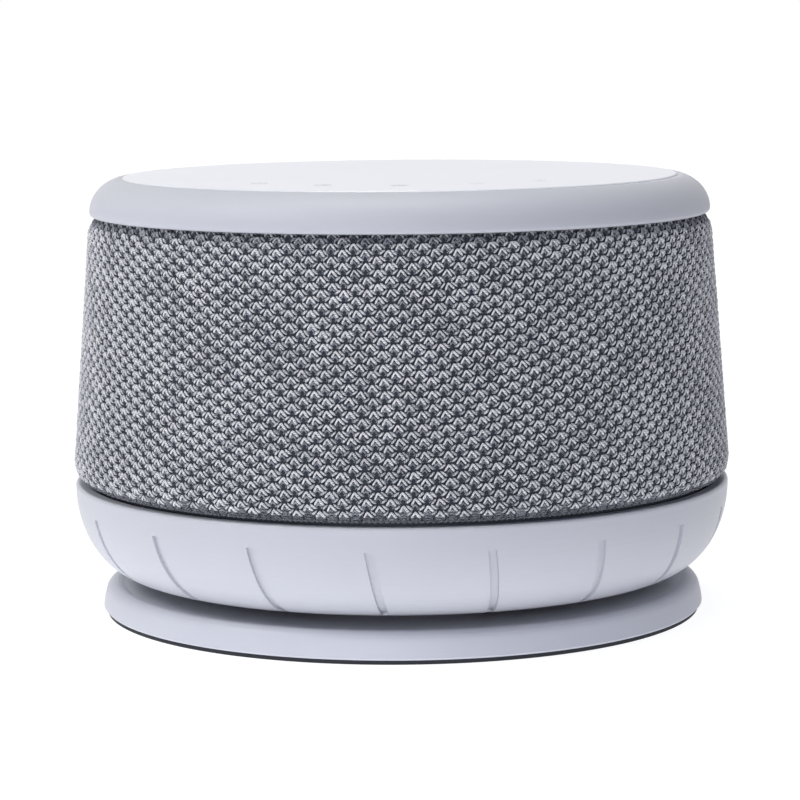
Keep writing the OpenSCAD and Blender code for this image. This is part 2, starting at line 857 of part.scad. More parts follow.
module motor_leads() {
    drop_r = bracket_r + slip_gap + 0.6;
    color("#c8b23a")
        for (a = [20, 40, 60])
            rotate([0, 0, 210 + (a - 40) * 0.35])
                lead([[bearing_r + 6, 0, motor_z + 0.8], [drop_r - 1.2, 0, motor_z + 0.8],
                      [drop_r, 0, motor_z - 0.4], [drop_r, 0, tub_floor + 3],
                      [drop_r + 1, 0, tub_floor + 1.2],
                      [drum_r - drum_wall - 6.4, 0, tub_floor + 1.2],
                      [drum_r - drum_wall - 5, 0, tub_floor + 2.6],
                      [drum_r - drum_wall - 5, 0, drum_top - drum_cap - 0.4]], 0.6);
}

module fan_shaft()
    color(steel)
        difference() {
            translate([0, 0, motor_z - shaft_tail])
                cylinder(r = shaft_r, h = cup_top + shaft_end - motor_z + shaft_tail);
            tube(shaft_r - clip_neck, shaft_r + over,
                 motor_z - clip_play, motor_z + clip_t + clip_play);
        }

module shaft_clip()
    color(steel)
        difference() {
            tube(shaft_r - clip_neck + screw_gap, shaft_r + clip_w, motor_z, motor_z + clip_t);
            translate([0, -shaft_r + bite, motor_z - over])
                cube([2 * shaft_r + over, 2 * (shaft_r - bite), clip_t + 2 * over]);
        }

module rotor_cup()
    color("#5d6066")
        spin([[shaft_r + 0.01, cup_top - boss_h], [boss_r + boss_root, cup_top - boss_h],
              [boss_r + 2 * boss_root, cup_top - cup_wall], [rotor_r - cup_wall - 1, cup_top - cup_wall],
              [rotor_r - cup_wall, cup_top - cup_wall - 1], [rotor_r - cup_wall, cup_z],
              [rotor_r, cup_z], [rotor_r, cup_top - 1], [rotor_r - 1, cup_top],
              [boss_r, cup_top], [boss_r, cup_top + boss_h],
              [shaft_r + 0.01, cup_top + boss_h]]);

module rotor_magnet()
    color("#3f4247")
        tube(stator_r + magnet_gap, rotor_r - cup_wall - 0.05, cup_z + 1, cup_z + 1 + magnet_h);

module fan_wheel() {
    sweep_r = (wheel_r - blade_in) * 0.9 + 12;
    color(white_abs) {
        difference() {
            union() {
                translate([0, 0, cup_top]) cylinder(r = wheel_r, h = wheel_plate_t);
                translate([0, 0, cup_top]) cylinder(r = boss_r + wheel_hub_w, h = wheel_hub_h);
                tube(wheel_r - wheel_rim_w, wheel_r, cup_top + wheel_plate_t - wheel_h,
                     cup_top + wheel_plate_t - wheel_h + wheel_rim_t);
                translate([0, 0, cup_top + wheel_plate_t - wheel_h])
                    linear_extrude(wheel_h - bite)
                        intersection() {
                            difference() {
                                circle(r = wheel_r - 0.4);
                                circle(r = blade_in);
                            }
                            for (i = [0:blade_n - 1])
                                rotate(i * 360 / blade_n)
                                    translate([(wheel_r + blade_in) / 2, sweep_r])
                                        difference() {
                                            circle(r = sweep_r + blade_t / 2);
                                            circle(r = sweep_r - blade_t / 2);
                                            translate([-2 * sweep_r, 0])
                                                square([4 * sweep_r, 2 * sweep_r]);
                                        }
                        }
            }
            translate([0, 0, cup_top - over])
                cylinder(r = boss_r + screw_gap, h = boss_h + 0.1 + over);
            translate([0, 0, cup_top - over])
                cylinder(r = shaft_r + 0.02, h = wheel_hub_h + 2 * over);
        }
    }
}

// ---- top ----

module top_frame()
    color(black_abs)
        difference() {
            spin([[0, frame_floor], [frame_r, frame_floor], [frame_r, light_z - frame_lip_t],
                  [light_r - frame_lip_step, light_z - frame_lip_t],
                  [light_r - frame_lip_step, light_z], [frame_r - frame_wall, light_z],
                  [frame_r - frame_wall, frame_floor + frame_t],
                  [0, frame_floor + frame_t]]);
            around(frame_screw_n, 30)
                translate([frame_screw_r, 0, frame_floor - over])
                    cylinder(r = small_screw[0] + 2 * screw_gap, h = frame_t + 2 * over);
            translate([ribbon_x - ribbon_slot[0] / 2, -ribbon_slot[1] / 2, frame_floor - over])
                cube([ribbon_slot[0], ribbon_slot[1], frame_t + 2 * over]);
            around(8, 22.5)
                sector(frame_vent_r, frame_vent_r + frame_t,
                       frame_floor - over, frame_floor + frame_t + over, 24);
        }

module frame_screws()
    color(steel)
        around(frame_screw_n, 30)
            translate([frame_screw_r, 0, frame_floor + frame_t])
                screw(small_screw, frame_t + ledge_t + 1.5);

module led_board()
    color(board_green) tube(led_in_r, frame_r - board_step, light_z, light_z + board_t);

module leds()
    color("#f4efd8")
        around(led_n)
            translate([led_r, 0, light_z + board_t + led_h / 2])
                cube([led_w, led_w, led_h], center = true);

module light_reflector()
    color("#f2f3f5")
        spin([[led_in_r, light_z + board_t], [led_in_r + 1.5, light_z + board_t],
              [led_in_r + 2.6, seat_z - seat_t - 0.2], [led_in_r, seat_z - seat_t - 0.2]]);

module light_ring() {
    outer = arc(light_c, light_reach, light_rise, 0,
                asin((body_h - rim_drop - light_c[1]) / light_rise), 14);
    inner = arc(light_c, light_reach - light_wall, light_rise - light_wall, 62, 0, 8);
    hip = arc([light_r - light_foot, light_c[1]], light_foot, light_foot, -78, -10, 4);
    rim = plate_r + plate_gap;
    lip = light_r - light_wall;
    color(frost_grey)
        spin(concat([[lip - light_lip_w, light_z]], hip,
                    [for (p = outer) if (p[0] > rim) p],
                    [[rim, body_h - rim_drop], [rim, seat_z], [rim - seat_w, seat_z],
                     [rim - seat_w, seat_z - seat_t]],
                    inner, [[lip, light_z + light_lip_t],
                            [lip - light_lip_w, light_z + light_lip_t]]));
}

module touch_board()
    color(board_green)
        translate([0, 0, seat_z - board_t])
            cylinder(r = plate_r - seat_w - 0.4, h = board_t);

module touch_ribbon()
    color("#d9d4c4")
        translate([ribbon_x, -ribbon_w / 2, board_z + board_t + socket_h])
            cube([ribbon_t, ribbon_w, seat_z - 2 * board_t - board_z - socket_h]);

module top_plate()
    color(white_abs)
        spin([[0, seat_z], [plate_r, seat_z], [plate_r, body_h - plate_chamfer],
              [plate_r - plate_chamfer, body_h], [0, body_h]]);

rubber_foot();
base_cover();
base_shell();
cover_screws();
hub_screws();
power_inlet();
inlet_board();
power_leads();
tone_ring();
glide_ring();
chassis_tub();
lower_hoop();
grille_core();
fabric_sleeve();
upper_hoop();
sound_drum();
drum_screws();
motor_isolators();
motor_bracket();
bracket_screws();
stator_core();
stator_windings();
motor_bearings();
motor_leads();
fan_shaft();
shaft_clip();
rotor_cup();
rotor_magnet();
fan_wheel();
main_board();
board_parts();
board_screws();
top_frame();
frame_screws();
led_board();
leds();
light_reflector();
light_ring();
touch_board();
touch_ribbon();
top_plate();
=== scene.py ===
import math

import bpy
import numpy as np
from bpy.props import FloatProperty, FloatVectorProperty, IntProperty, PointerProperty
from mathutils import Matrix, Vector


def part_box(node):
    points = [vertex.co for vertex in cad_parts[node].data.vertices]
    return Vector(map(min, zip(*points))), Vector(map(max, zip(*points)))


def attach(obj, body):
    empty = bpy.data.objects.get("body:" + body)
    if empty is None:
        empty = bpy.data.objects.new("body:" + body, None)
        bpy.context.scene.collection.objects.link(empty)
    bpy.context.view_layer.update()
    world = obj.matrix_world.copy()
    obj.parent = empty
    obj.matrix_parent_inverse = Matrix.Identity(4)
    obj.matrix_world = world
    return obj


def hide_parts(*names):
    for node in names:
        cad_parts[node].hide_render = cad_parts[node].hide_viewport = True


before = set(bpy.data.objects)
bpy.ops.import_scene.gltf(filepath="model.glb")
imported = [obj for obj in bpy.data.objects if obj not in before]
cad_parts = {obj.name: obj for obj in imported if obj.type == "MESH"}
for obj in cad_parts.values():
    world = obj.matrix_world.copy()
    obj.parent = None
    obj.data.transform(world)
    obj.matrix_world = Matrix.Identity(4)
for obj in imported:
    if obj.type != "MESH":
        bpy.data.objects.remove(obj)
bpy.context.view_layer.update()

bl_info = {
    "name": "Fan Sound Machine Looks",
    "version": (1, 0, 0),
    "blender": (4, 5, 0),
    "location": "3D View > Sidebar > Sound Machine",
    "description": "Knits the sleeve, finishes the moulded parts, prints the touch marks and lights "
    "a fan sound machine",
    "category": "Object",
}

MM = 0.001
TURN = 2 * math.pi


def linear(code):
    """An sRGB hex colour such as "#dfe1e9" as the linear values, with alpha, of Blender's sockets."""
    parts = [int(code[i : i + 2], 16) / 255 for i in (1, 3, 5)]
    return tuple(p / 12.92 if p <= 0.04045 else ((p + 0.055) / 1.055) ** 2.4 for p in parts) + (1.0,)


# ---------------------------------------------------------------- settings


def colour(name, code, description):
    """A colour setting whose default is an sRGB hex value."""
    return FloatVectorProperty(
        name=name, description=description, subtype="COLOR", size=4, min=0, max=1, default=linear(code)
    )


def number(name, value, description):
    """A plain number setting."""
    return FloatProperty(name=name, description=description, default=value)


def length(name, mm, description):
    """A length setting, given in millimetres."""
    return FloatProperty(name=name, description=description, default=mm * MM, unit="LENGTH")


def angle(name, degrees, description):
    """An angle setting, given in degrees."""
    turn = math.radians(degrees)
    return FloatProperty(name=name, description=description, default=turn, unit="ROTATION")


def power(name, watts, description):
    """The power of a lamp, in watts."""
    return FloatProperty(name=name, description=description, default=watts, unit="POWER")


class KnitSettings(bpy.types.PropertyGroup):
    """The two-colour bird's-eye knit of the sleeve."""

    wales: IntProperty(
        name="Wales", description="Columns of stitches round the sleeve, an even number", default=186
    )
    course: length("Course", 1.395, "Height of one row of stitches")
    taper: length("Taper", 3.9, "How much smaller the sleeve's radius is at its top")
    curl_w: length("Curl Depth", 2.5, "How far the hems curl inward")
    curl_h: length("Curl Height", 4.6, "Height over which the hems curl")
    tuck_turn: angle("Tuck Turn", 60, "How far round the upper curl the cloth goes")
    tuck_w: length("Tuck Reach", 0.45, "How far outside the curl's end the cloth tucks in")
    tuck_h: length("Tuck Height", 0.6, "How far the cloth tucks up under the light ring")
    lean: angle("Lean", 3.0, "Slant of the wales, from circular knitting")
    # The hem is ground yarn, drawn darker row by row downward with painted shade.
    hem: length("Hem", 3.64, "Length of plain dark hem under the first row of face stitches")
    # Painted shade: the cloth within this length of the top, tucked under the light ring, is drawn
    # darker.
    tuck_shade_length: length("Painted Shade Under Ring", 1.3, "Length of darker cloth tucked under the light ring")
    loose: number("Looseness", 1.0, "How much the stitches vary, 0 for none")
    panels: IntProperty(name="Panels", description="Meshes the face yarn is split into", default=12)
    light: colour("Face Yarn", "#fbfaf9", "Nearly white yarn on the face")
    dark: colour("Ground Yarn", "#afb2b8", "Grey yarn between the face stitches")


class MouldedSettings(bpy.types.PropertyGroup):
    """Colours of the moulded plastics."""

    ring: colour("Tone Ring", "#cccdd2", "Cool white of the tone ring")
    # Painted light: the base is the tone ring's plastic drawn paler and bluer, for the light it lacks low
    # under the ring.
    base: colour("Base", "#dadbe1", "Cool white of the base")
    plate: colour("Touch Plate", "#f4f5f8", "White of the touch plate")
    rim: colour("Light Ring", "#c9cacf", "Frosted grey of the light ring")
    chassis: colour("Chassis", "#2d3340", "Blue-black of the hidden chassis")
    rubber: colour("Rubber", "#2c2e33", "Dark grey of the foot")
    ink: colour("Ink", "#c6c9cf", "Pale grey of the printed touch marks")


class StageSettings(bpy.types.PropertyGroup):
    """The studio round the object."""

    floor: colour("Floor", "#f4f4f5", "Colour of the floor")
    key: power("Key", 9.8, "Power of the large light, upper left")
    top: power("Top", 17.6, "Power of the light overhead")
    front: power("Front", 7.0, "Power of the low light in front")
    glow: number("Glow", 0.58, "Light that the pale floor throws up")
    slant: number("Slant", 0.5, "How much more of it comes from the key light's side")
    bounce: colour("Bounce", "#f1f3fb", "Colour of the light from the floor")
    cool: colour("Front Tint", "#eef2fc", "Colour of the low light in front, off a blue-white wall")
    sky: number("Sky", 0.07, "Strength of the even light from all round")
    lens: FloatProperty(
        name="Lens", description="Focal length of the camera", default=138.6, unit="CAMERA"
    )


# ---------------------------------------------------------------- making nodes and meshes


def add(tree, kind, inputs=None, **settings):
    """Adds one node, with its settings, and sets or links its inputs, by name or by number."""
    node = tree.nodes.new(kind)
    for name, value in settings.items():
        setattr(node, name, value)
    for socket, value in (inputs or {}).items():
        if isinstance(value, bpy.types.NodeSocket):
            tree.links.new(value, node.inputs[socket])
        else:
            node.inputs[socket].default_value = value
    return node


def maths(tree, operation, *values, clamp=False):
    """The result of one Math node."""
    return add(
        tree, "ShaderNodeMath", dict(enumerate(values)), operation=operation, use_clamp=clamp
    ).outputs[0]


def spread_out(tree, value, low, high, new_low, new_high, **settings):
    """A value carried from one range to another, and held inside it."""
    ends = {"From Min": low, "From Max": high, "To Min": new_low, "To Max": new_high}
    return add(tree, "ShaderNodeMapRange", {"Value": value, **ends}, **settings).outputs["Result"]


def noise(tree, place, size_mm, detail=2.0):
    """Cloudy noise whose patches are about as wide as the size."""
    inputs = {"Vector": place, "Scale": 1 / (size_mm * MM), "Detail": detail}
    return add(tree, "ShaderNodeTexNoise", inputs).outputs["Fac"]


def blend(tree, share, first, second):
    """The colour that lies this share of the way from the first to the second."""
    return add(tree, "ShaderNodeMix", {0: share, 6: first, 7: second}, data_type="RGBA").outputs[2]


def times(colour, factor):
    """A lighter or darker colour."""
    return tuple(factor * c for c in colour[:3]) + (1.0,)


def surface(tree, tint, roughness, relief=None, strength=0.0, depth_mm=0.0, more=None):
    """Ends a material: a Principled surface, its fine relief as bump, and the output."""
    inputs = {"Base Color": tint, "Roughness": roughness, **(more or {})}
    if relief is not None:
        bump = {"Height": relief, "Strength": strength, "Distance": depth_mm * MM}
        inputs["Normal"] = add(tree, "ShaderNodeBump", bump).outputs["Normal"]
    body = add(tree, "ShaderNodeBsdfPrincipled", inputs)
    add(tree, "ShaderNodeOutputMaterial", {"Surface": body.outputs["BSDF"]})


def new_material(name):
    """A material with an empty node tree, the tree, and the object's own coordinates in it."""
    made = bpy.data.materials.new(name)
    made.use_nodes = True
    tree = made.node_tree
    tree.nodes.clear()
    return made, tree, add(tree, "ShaderNodeTexCoord").outputs["Object"]


def new_mesh(name, points, faces, material):
    """A smooth mesh piece that rides on the housing and wears the finish it is given."""
    mesh = bpy.data.meshes.new(name)
    mesh.from_pydata(points, [], faces)
    mesh.materials.append(material)
    mesh.shade_smooth()
    piece = bpy.data.objects.new(name, mesh)
    bpy.context.scene.collection.objects.link(piece)
    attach(piece, "housing")
    return piece


# ---------------------------------------------------------------- materials


def moulded_plastic(name, colour, roughness=0.46, ior=1.53, grain_mm=0.35, soft=0.0):
    """ABS or polycarbonate, injection moulded in a spark-eroded tool: an even, faintly grained satin
    skin with soft highlights. The tool's grain is drawn coarser than its real 0.1 mm, or it would
    not show."""
    made, tree, place = new_material(name)
    grain = noise(tree, place, grain_mm, detail=3.0)
    flow = noise(tree, place, 30)
    polish = spread_out(tree, grain, 0.3, 0.7, roughness - 0.05, roughness + 0.05)
    light_enters = {
        "IOR": ior,
        "Subsurface Weight": soft,
        "Subsurface Radius": (1.2 * MM, 1.2 * MM, 1.3 * MM),
        "Subsurface Scale": 1.0,
    }
    tint = blend(tree, flow, colour, times(colour, 0.95))
    surface(tree, tint, polish, grain, strength=0.6, depth_mm=0.012, more=light_enters)
    return made


def rubber(name, colour):
    """Thermoplastic rubber, moulded matt: no shine, a slightly open skin that holds dust and looks
    chalky."""
    made, tree, place = new_material(name)
    pores = noise(tree, place, 0.6, detail=4.0)
    tint = blend(tree, pores, colour, times(colour, 1.25))
    surface(tree, tint, 0.85, pores, strength=0.5, depth_mm=0.03, more={"IOR": 1.5})
    return made


def metal(name, colour, roughness, line_mm, upright=False):
    """Sheet steel, plated or stacked in laminations, or enamelled copper wire: the fine lines of
    rolling, stacking or winding run one way, and catch the light across it. A line and the gap
    beside it are as wide as each other."""
    made, tree, place = new_material(name)
    # A wave texture repeats every pi / (10 x scale).
    lines = add(
        tree,
        "ShaderNodeTexWave",
        {"Vector": place, "Scale": 1 / (20 * line_mm * MM) * math.pi, "Distortion": 0.6, "Detail": 2.0},
        bands_direction="Z" if upright else "X",
    ).outputs["Fac"]
    spots = noise(tree, place, 2, detail=3.0)
    polish = spread_out(tree, lines, 0.0, 1.0, roughness - 0.06, roughness + 0.08)
    tint = blend(tree, spots, colour, times(colour, 0.8))
    surface(tree, tint, polish, lines, strength=0.4, depth_mm=0.02, more={"Metallic": 1.0})
    return made


def speckled(name, colour, fleck, roughness, ior, fleck_mm):
    """A pressed, cast or coated part whose skin is broken by flecks: sintered ferrite, solder mask
    over copper tracks, epoxy packages, drawn lead insulation."""
    made, tree, place = new_material(name)
    cells = {"Vector": place, "Scale": 1 / (fleck_mm * MM)}
    flecks = add(tree, "ShaderNodeTexVoronoi", cells, distance="MANHATTAN").outputs["Distance"]
    # A cell's fleck begins about half way out from its centre.
    edge = spread_out(tree, flecks, 0.42, 0.58, 0.0, 1.0)
    tint = blend(tree, edge, colour, fleck)
    surface(tree, tint, roughness, edge, strength=0.4, depth_mm=0.03, more={"IOR": ior})
    return made


PLIES = 4
PLY_PITCH = 0.6  # millimetres along the strand from one ply to the next


def yarn(name, colour, shade, spread, valley):
    """Polyester yarn of four plies, spun and then knitted: a matt strand with painted shade in the narrow
    valleys between plies that turn once in 2.4 mm, fuzzy with fibres whose light and shade are painted,
    each stitch a little lighter or darker than the next. The mesh's own yarn attribute gives millimetres
    along the strand, the way round it and the stitch's tone, which also holds painted shade of the
    strands, the hem and the tuck under the light ring. spread is how far that tone goes from colour to
    shade, and valley how dark the painted shade gets between plies."""
    made, tree, place = new_material(name)
    strand = add(tree, "ShaderNodeAttribute", attribute_name="yarn").outputs["Vector"]
    parts = add(tree, "ShaderNodeSeparateXYZ", {"Vector": strand}).outputs
    turn = maths(tree, "MULTIPLY", parts["X"], TURN / PLY_PITCH)
    twist = maths(tree, "SINE", maths(tree, "MULTIPLY_ADD", parts["Y"], TURN * PLIES, turn))
    # Painted shade in the narrow valleys between plies.
    plies = spread_out(tree, twist, 0.1, -1.0, 0.0, valley)
    # Painted light and shade: noise makes the strand a little lighter or darker where fibres stand off
    # it.
    fuzz = spread_out(tree, noise(tree, place, 0.24), 0.46, 0.68, -0.1, 0.6)
    ply_and_fibre_shade = maths(tree, "ADD", plies, fuzz)
    toned = maths(tree, "MULTIPLY_ADD", parts["Z"], spread, ply_and_fibre_shade, clamp=True)
    fibres = {"IOR": 1.5, "Sheen Weight": 0.25, "Sheen Roughness": 0.5}
    tint = blend(tree, toned, colour, shade)
    surface(tree, tint, 0.82, twist, strength=0.5, depth_mm=0.03, more=fibres)
    return made


def shaded_backing_cloth(name, colour):
    """The knit's ground seen between stitches: the ground yarn drawn charcoal with painted shade, and
    mottled darker by noise as painted shade between its loops.
    """
    made, tree, place = new_material(name)
    loops = noise(tree, place, 0.5, detail=3.0)
    tint = blend(tree, loops, times(colour, 0.35), colour)
    surface(tree, tint, 0.9, loops, strength=0.8, depth_mm=0.15, more={"IOR": 1.5})
    return made


def printed_ink(name, colour):
    """Pad-printed ink: a thin, slightly uneven film that is a touch glossier than the plate."""
    made, tree, place = new_material(name)
    film = noise(tree, place, 0.4)
    surface(tree, blend(tree, film, colour, times(colour, 1.08)), 0.35, more={"IOR": 1.5})
    return made


# ---------------------------------------------------------------- the moulded and inner parts


def wear(finishes):
    """Puts each finish on its CAD nodes, whose names stand in one string."""
    for finish, nodes in finishes.items():
        for node in nodes.split():
            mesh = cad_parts[node].data
            mesh.materials.clear()
            mesh.materials.append(finish)


class SOUNDMACHINE_OT_mouldings(bpy.types.Operator):
    """Gives the base, tone ring, light ring, touch plate and foot their moulded finishes"""

    bl_idname = "sound_machine.mouldings"
    bl_label = "Finish the Mouldings"

    def execute(self, context):
        moulded = context.scene.sound_machine_moulded
        ring, base, plate = tuple(moulded.ring), tuple(moulded.base), tuple(moulded.plate)
        rim, chassis, foot = tuple(moulded.rim), tuple(moulded.chassis), tuple(moulded.rubber)
        natural = linear("#e4e5ea")
        abs_ring = moulded_plastic("Moulded ABS, cool white", ring, roughness=0.38)
        # Painted light: the tone ring's plastic, drawn paler and bluer for the base.
        abs_base_painted_paler = moulded_plastic("Moulded ABS, cool white painted paler and bluer", base)
        abs_plate = moulded_plastic("Moulded ABS, satin white", plate, roughness=0.4, grain_mm=0.25)
        frosted = moulded_plastic("Frosted polycarbonate", rim, roughness=0.55, ior=1.58, soft=0.25)
        abs_natural = moulded_plastic("Moulded ABS, natural white", natural, roughness=0.5)
        abs_black = moulded_plastic("Moulded ABS, black", chassis, roughness=0.5)
        acetal = moulded_plastic("Turned acetal", linear("#e9e7df"), roughness=0.35, ior=1.48)
        wear(
            {
                abs_ring: "tone_ring",
                abs_base_painted_paler: "base_shell base_cover",
                abs_plate: "top_plate",
                frosted: "light_ring",
                abs_natural: "sound_drum fan_wheel light_reflector",
                abs_black: "chassis_tub grille_core lower_hoop upper_hoop top_frame",
                acetal: "glide_ring",
                rubber("Moulded TPE rubber", foot): "rubber_foot motor_isolators",
            }
        )
        return {"FINISHED"}


class SOUNDMACHINE_OT_works(bpy.types.Operator):
    """Gives the motor, boards, leads, lamps and fixings their finishes"""

    bl_idname = "sound_machine.works"
    bl_label = "Finish the Works"

    def execute(self, context):
        # Colour, roughness and width of a line in millimetres.
        steel = metal("Zinc-plated steel", linear("#b9bcc0"), 0.32, 0.3)
        core = metal("Laminated electrical steel", linear("#8d9096"), 0.42, 0.35, upright=True)
        copper = metal("Enamelled copper wire", linear("#b4683a"), 0.3, 0.25, upright=True)
        # Colour, fleck colour, roughness, index of refraction and width of a fleck in millimetres.
        ferrite = speckled("Sintered ferrite", linear("#3a3c40"), linear("#55585d"), 0.6, 1.5, 0.8)
        board = speckled("Solder-masked FR4", linear("#1f5a3b"), linear("#2c7350"), 0.35, 1.55, 3.0)
        epoxy = speckled("Moulded epoxy", linear("#25272b"), linear("#33363b"), 0.5, 1.55, 1.2)
        pvc = speckled("Drawn PVC insulation", linear("#8e2f2a"), linear("#a03a33"), 0.45, 1.53, 1.5)
        silicone = speckled("Cast LED silicone", linear("#e8e2b8"), linear("#efe9c8"), 0.3, 1.42, 1.0)
        wear(
            {
                steel: """cover_screws hub_screws power_inlet drum_screws motor_bracket bracket_screws
                    motor_bearings fan_shaft shaft_clip rotor_cup board_screws frame_screws""",
                core: "stator_core",
                copper: "stator_windings",
                ferrite: "rotor_magnet",
                board: "main_board inlet_board led_board touch_board",
                epoxy: "board_parts",
                pvc: "power_leads motor_leads touch_ribbon",
                silicone: "leds",
            }
        )
        return {"FINISHED"}


# ---------------------------------------------------------------- the knitted sleeve

# Each strand is a list of rings: millimetres to the right, up and out, half width and half thickness.
# Face stitch: two legs that meet in a pointed arch, the right one broader, and one strand outside
# each leg.
FACE_STRANDS = (
    (
        (0.03, 0.12, -0.20, 0.10, 0.06),
        (-0.06, -0.05, -0.02, 0.21, 0.14),
        (-0.30, -0.46, 0.02, 0.24, 0.16),
        (-0.56, -0.88, 0.01, 0.24, 0.16),
        (-0.74, -1.16, -0.08, 0.19, 0.13),
        (-0.84, -1.32, -0.35, 0.08, 0.06),
    ),
    (
        (-0.02, 0.18, -0.20, 0.10, 0.06),
        (0.14, 0.00, -0.01, 0.25, 0.15),
        (0.46, -0.40, 0.04, 0.32, 0.18),
        (0.79, -0.81, 0.03, 0.32, 0.18),
        (1.03, -1.11, -0.06, 0.25, 0.14),
        (1.18, -1.29, -0.35, 0.10, 0.06),
    ),
    (
        (-0.60, 0.22, -0.38, 0.10, 0.06),
        (-0.80, 0.03, -0.14, 0.22, 0.14),
        (-1.13, -0.26, -0.09, 0.25, 0.15),
        (-1.48, -0.57, -0.12, 0.23, 0.13),
        (-1.74, -0.82, -0.38, 0.10, 0.06),
    ),
    (
        (0.66, 0.28, -0.38, 0.10, 0.06),
        (0.90, 0.08, -0.12, 0.23, 0.14),
        (1.27, -0.24, -0.07, 0.27, 0.16),
        (1.62, -0.58, -0.10, 0.25, 0.14),
        (1.90, -0.84, -0.38, 0.10, 0.06),
    ),
)
# Each strand's tone beside its stitch's, less for paler: painted light and shade. The legs are drawn
# paler as painted light, and the outer strands, which lie deeper, greyer as painted shade.
FACE_STRAND_SHADES = (-0.45, -0.4, 0.0, -0.05)
# Ground stitch: one low arch in the diamond under each face stitch, and a short strand at each foot.
GROUND_STRANDS = (
    (
        (-0.50, -0.20, -0.36, 0.12, 0.08),
        (-0.34, 0.22, -0.14, 0.26, 0.15),
        (0.02, 0.48, -0.10, 0.28, 0.16),
        (0.38, 0.20, -0.14, 0.26, 0.15),
        (0.54, -0.22, -0.36, 0.12, 0.08),
    ),
    (
        (-1.10, 0.04, -0.38, 0.12, 0.06),
        (-0.74, -0.30, -0.18, 0.24, 0.13),
        (-0.36, -0.66, -0.38, 0.12, 0.06),
    ),
    (
        (1.12, 0.04, -0.38, 0.12, 0.06),
        (0.76, -0.30, -0.18, 0.24, 0.13),
        (0.38, -0.66, -0.38, 0.12, 0.06),
    ),
)
# Painted light and shade: the ground arch is drawn paler, and the short strands at its feet, which lie
# deeper, darker.
GROUND_STRAND_SHADES = (-0.1, 0.1, 0.1)
FACE, GROUND = 0, 1  # the face yarn has the even stitches of the checkerboard, the ground yarn the odd
RING_SIDES = 6
YARN_SEED = 41
# The hem under the face stitches is rolled: rows of ground loops at every wale, half a course apart.
HEM_ROWS = 4
# Painted shade: each hem row downward is drawn darker by this much tone.
HEM_PAINTED_SHADE = 0.18  # tone added by each row downward
# Painted shade: tone added to the stitches under the light ring's overhang.
TUCK_PAINTED_SHADE = 1.1  # tone added under the light ring
# How much single stitches vary, as standard deviations: millimetres sideways and up, radians of tilt,
# millimetres outward, then shares of the thickness, of the stitch's tone and of one strand's tone.
SHIFT, TILT, LIFT, THICKNESS, TONE, STRAND_TONE = 0.05, 0.05, 0.03, 0.06, 0.2, 0.15
# A tightly drawn stitch is thinner and darker by these.
TIGHT_THINS, TIGHT_DARKENS = 0.06, 0.25
# Patches of tight and loose knit: waves round the sleeve and half waves up it.
PATCHES = ((5, 2), (9, 3), (14, 5), (23, 4), (41, 9))
PATCH_SHARE, WALE_SHARE = 0.3, 0.35
# Points along the sleeve's line in its lower curl, straight side, upper curl and tuck.
LINE_STEPS = (60, 200, 40, 12)
CLOTH_FACES = (0.45, 0.85)  # millimetres that the ground cloth's two faces lie inside the sleeve's line
CLOTH_ROWS = 90
CORD_RADIUS, CORD_INSET, CORD_SIDES = 0.75 * MM, 0.7 * MM, 10  # the rolled cord at the lower edge
CORD_SWELL, CORD_SLANT = 0.16, 900  # how far its turns swell, and radians of slant in a metre


def sleeve_line(knit):
    """The sleeve's outer line from lower hem to upper tuck: length along it, radius, height and the
    outward normal."""
    low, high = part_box("fabric_sleeve")
    outer, upper = high.x - knit.curl_w, high.x - knit.taper - knit.curl_w
    low_steps, side_steps, high_steps, tuck_steps = LINE_STEPS
    low_turn = np.linspace(-np.pi / 2, 0, low_steps)
    high_turn = np.linspace(0, knit.tuck_turn, high_steps)
    rise, tuck = np.linspace(0, 1, side_steps)[1:-1], np.linspace(0, 1, tuck_steps)[1:]
    z_low, z_high = low.z + knit.curl_h, high.z - knit.curl_h
    curl_r = upper + knit.curl_w * np.cos(high_turn)
    curl_z = z_high + knit.curl_h * np.sin(high_turn)
    radius = np.concatenate(
        [
            outer + knit.curl_w * np.cos(low_turn),
            high.x - knit.taper * rise,
            curl_r,
            curl_r[-1] + (upper + knit.tuck_w - curl_r[-1]) * tuck,
        ]
    )
    height = np.concatenate(
        [
            z_low + knit.curl_h * np.sin(low_turn),
            z_low + (z_high - z_low) * rise,
            curl_z,
            curl_z[-1] + (high.z + knit.tuck_h - curl_z[-1]) * tuck,
        ]
    )
    dr, dz = np.gradient(radius), np.gradient(height)
    step = np.hypot(dr, dz)
    along = np.concatenate([[0], np.cumsum(np.hypot(np.diff(radius), np.diff(height)))])
    return along, radius, height, dz / step, -dr / step


def on_sleeve(line, phi, s, out):
    """Points at the angles phi, the lengths s along the sleeve's line and the distances out from it."""
    along, radius, height, nr, nz = line
    r = np.interp(s, along, radius) + out * np.interp(s, along, nr)
    z = np.interp(s, along, height) + out * np.interp(s, along, nz)
    return np.stack([r * np.cos(phi), r * np.sin(phi), z], axis=-1)


def tube_faces(rings):
    """Faces of one closed strand: quads between the rings and a cap at each end."""
    quads = []
    for first in range(0, (rings - 1) * RING_SIDES, RING_SIDES):
        for a in range(RING_SIDES):
            b = (a + 1) % RING_SIDES
            quads.append((first + a, first + b, first + RING_SIDES + b, first + RING_SIDES + a))
    ends = range(RING_SIDES)
    caps = [tuple(reversed(ends)), tuple((rings - 1) * RING_SIDES + a for a in ends)]
    return np.array(quads), np.array(caps)


